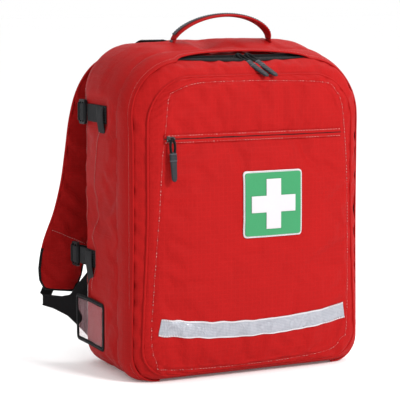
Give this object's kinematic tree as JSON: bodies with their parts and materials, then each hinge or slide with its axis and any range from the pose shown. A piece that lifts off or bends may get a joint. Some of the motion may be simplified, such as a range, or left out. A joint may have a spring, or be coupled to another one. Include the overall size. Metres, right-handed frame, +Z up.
{
  "type": "first aid rucksack",
  "caption": "Soft-sided first aid rucksack with a fold-down zipped lid, front pocket, cross badge, reflective strip, carry handle, padded shoulder straps and side compression straps.",
  "frame": {"origin": "on the floor, in the middle of the bag's flat bottom from side to side, and 95 mm in front of the back panel", "axes": "+Z up, -Y out of the front with its badge, +Y towards the wearer's back, +X to the wearer's right, which is to the right of someone who faces the badge"},
  "size_m": [0.4846, 0.3077, 0.5435],
  "materials": {
    "red_fabric": "woven ripstop nylon, matt",
    "pouch_fabric": "woven nylon, matt",
    "clear_vinyl": "clear soft vinyl",
    "black_mesh": "padded spacer mesh",
    "grey_webbing": "ribbed webbing",
    "black_webbing": "woven tape",
    "buckle_plastic": "moulded acetal",
    "slider_metal": "black painted zinc",
    "puller_rubber": "moulded rubber over a cord",
    "badge_white": "soft PVC, satin",
    "badge_green": "soft PVC, satin",
    "reflective": "retroreflective tape",
    "stiffener": "polyethylene sheet"
  },
  "bodies": {
    "bag": {"rear_shell": "red_fabric", "main_zip_tape_rear": "black_webbing", "rain_flap": "red_fabric", "frame_sheet": "stiffener", "back_pad": "black_mesh", "lumbar_pad": "black_mesh", "inner_shelf": "red_fabric", "pouch_lower_left": "pouch_fabric", "pouch_lower_left_window": "clear_vinyl", "pouch_lower_right": "pouch_fabric", "pouch_lower_right_window": "clear_vinyl", "pouch_upper_left": "pouch_fabric", "pouch_upper_left_window": "clear_vinyl", "pouch_upper_right": "pouch_fabric", "pouch_upper_right_window": "clear_vinyl", "strap_yoke_left": "grey_webbing", "strap_yoke_right": "grey_webbing", "strap_wing_left": "grey_webbing", "strap_wing_right": "grey_webbing", "compression_anchor_upper_left": "black_webbing", "compression_anchor_upper_right": "black_webbing", "compression_anchor_lower_left": "black_webbing", "compression_anchor_lower_right": "black_webbing", "compression_webbing_upper_left": "grey_webbing", "compression_webbing_upper_right": "grey_webbing", "compression_webbing_lower_left": "grey_webbing", "compression_webbing_lower_right": "grey_webbing"},
    "lid": {"lid_shell": "red_fabric", "main_zip_tape_front": "black_webbing", "front_pocket": "red_fabric", "front_yoke": "red_fabric", "pocket_zip_coil": "black_webbing", "badge_backing": "badge_white", "badge_field": "badge_green", "badge_cross": "badge_white", "reflective_strip": "reflective"},
    "main_slider_left": {"main_zip_slider_left": "slider_metal"},
    "main_puller_left": {"main_zip_puller_left": "puller_rubber"},
    "main_slider_right": {"main_zip_slider_right": "slider_metal"},
    "main_puller_right": {"main_zip_puller_right": "puller_rubber"},
    "pocket_slider": {"pocket_zip_slider": "slider_metal"},
    "pocket_puller": {"pocket_zip_puller": "puller_rubber"},
    "handle": {"top_handle": "red_fabric", "handle_webbing": "grey_webbing"},
    "strap_left": {"shoulder_strap_left": "red_fabric", "strap_lining_left": "black_mesh", "strap_lock_loop_left": "black_webbing", "adjust_webbing_left": "black_webbing"},
    "strap_buckle_left": {"strap_lock_left": "buckle_plastic"},
    "strap_right": {"shoulder_strap_right": "red_fabric", "strap_lining_right": "black_mesh", "strap_lock_loop_right": "black_webbing", "adjust_webbing_right": "black_webbing"},
    "strap_buckle_right": {"strap_lock_right": "buckle_plastic"},
    "side_buckle_upper_left": {"ladder_lock_upper_left": "buckle_plastic"},
    "side_buckle_upper_right": {"ladder_lock_upper_right": "buckle_plastic"},
    "side_buckle_lower_left": {"ladder_lock_lower_left": "buckle_plastic"},
    "side_buckle_lower_right": {"ladder_lock_lower_right": "buckle_plastic"},
    "card_pocket": {"id_pocket_frame": "black_webbing", "id_pocket_window": "clear_vinyl"}
  },
  "joints": [
    {"name": "lid_hinge", "type": "hinge", "parent": "bag", "child": "lid", "pos_m": [0, -0.062, 0.001], "axis": [1, 0, 0], "range_deg": [0, 170]},
    {"name": "main_zip_left", "type": "slide", "parent": "lid", "child": "main_slider_left", "axis": [-1, 0, 0], "range_m": [0, 0.062]},
    {"name": "main_puller_left_swing", "type": "hinge", "parent": "main_slider_left", "child": "main_puller_left", "pos_m": [-0.0078, -0.0646, 0.483], "axis": [-0.8988, -0.3634, -0.2451], "range_deg": [0, 110]},
    {"name": "main_zip_right", "type": "slide", "parent": "lid", "child": "main_slider_right", "axis": [1, 0, 0], "range_m": [0, 0.062]},
    {"name": "main_puller_right_swing", "type": "hinge", "parent": "main_slider_right", "child": "main_puller_right", "pos_m": [0.0078, -0.0646, 0.483], "axis": [-0.8988, -0.3634, -0.2451], "range_deg": [0, 110]},
    {"name": "pocket_zip", "type": "slide", "parent": "lid", "child": "pocket_slider", "axis": [1, 0, 0], "range_m": [0, 0.278]},
    {"name": "pocket_puller_swing", "type": "hinge", "parent": "pocket_slider", "child": "pocket_puller", "pos_m": [-0.139, -0.1118, 0.364], "axis": [-1, 0, 0], "range_deg": [0, 95]},
    {"name": "handle_fold", "type": "hinge", "parent": "bag", "child": "handle", "pos_m": [0, 0.005, 0.5037], "axis": [1, 0, 0], "range_deg": [-38, 60]},
    {"name": "strap_left_swing", "type": "hinge", "parent": "bag", "child": "strap_left", "pos_m": [-0.086, 0.1045, 0.436], "axis": [-0.3946, 0.1506, -0.9064], "range_deg": [-6, 25]},
    {"name": "strap_buckle_left_swing", "type": "hinge", "parent": "strap_left", "child": "strap_buckle_left", "pos_m": [-0.202, 0.1825, 0.15], "axis": [1, 0, 0], "range_deg": [0, 40]},
    {"name": "strap_right_swing", "type": "hinge", "parent": "bag", "child": "strap_right", "pos_m": [0.086, 0.1045, 0.436], "axis": [-0.3946, -0.1506, 0.9064], "range_deg": [-6, 25]},
    {"name": "strap_buckle_right_swing", "type": "hinge", "parent": "strap_right", "child": "strap_buckle_right", "pos_m": [0.202, 0.1825, 0.15], "axis": [1, 0, 0], "range_deg": [0, 40]},
    {"name": "side_buckle_upper_left_swing", "type": "hinge", "parent": "bag", "child": "side_buckle_upper_left", "pos_m": [-0.19965, 0.089, 0.394], "axis": [0, 0, -1], "range_deg": [0, 35]},
    {"name": "side_buckle_upper_right_swing", "type": "hinge", "parent": "bag", "child": "side_buckle_upper_right", "pos_m": [0.19965, 0.089, 0.394], "axis": [0, 0, 1], "range_deg": [0, 35]},
    {"name": "side_buckle_lower_left_swing", "type": "hinge", "parent": "bag", "child": "side_buckle_lower_left", "pos_m": [-0.19965, 0.123, 0.169], "axis": [0, 0, -1], "range_deg": [0, 35]},
    {"name": "side_buckle_lower_right_swing", "type": "hinge", "parent": "bag", "child": "side_buckle_lower_right", "pos_m": [0.19965, 0.123, 0.169], "axis": [0, 0, 1], "range_deg": [0, 35]},
    {"name": "card_pocket_swing", "type": "hinge", "parent": "bag", "child": "card_pocket", "pos_m": [-0.198, 0.006, 0.0725], "axis": [0, 0, 1], "range_deg": [0, 60]}
  ]
}
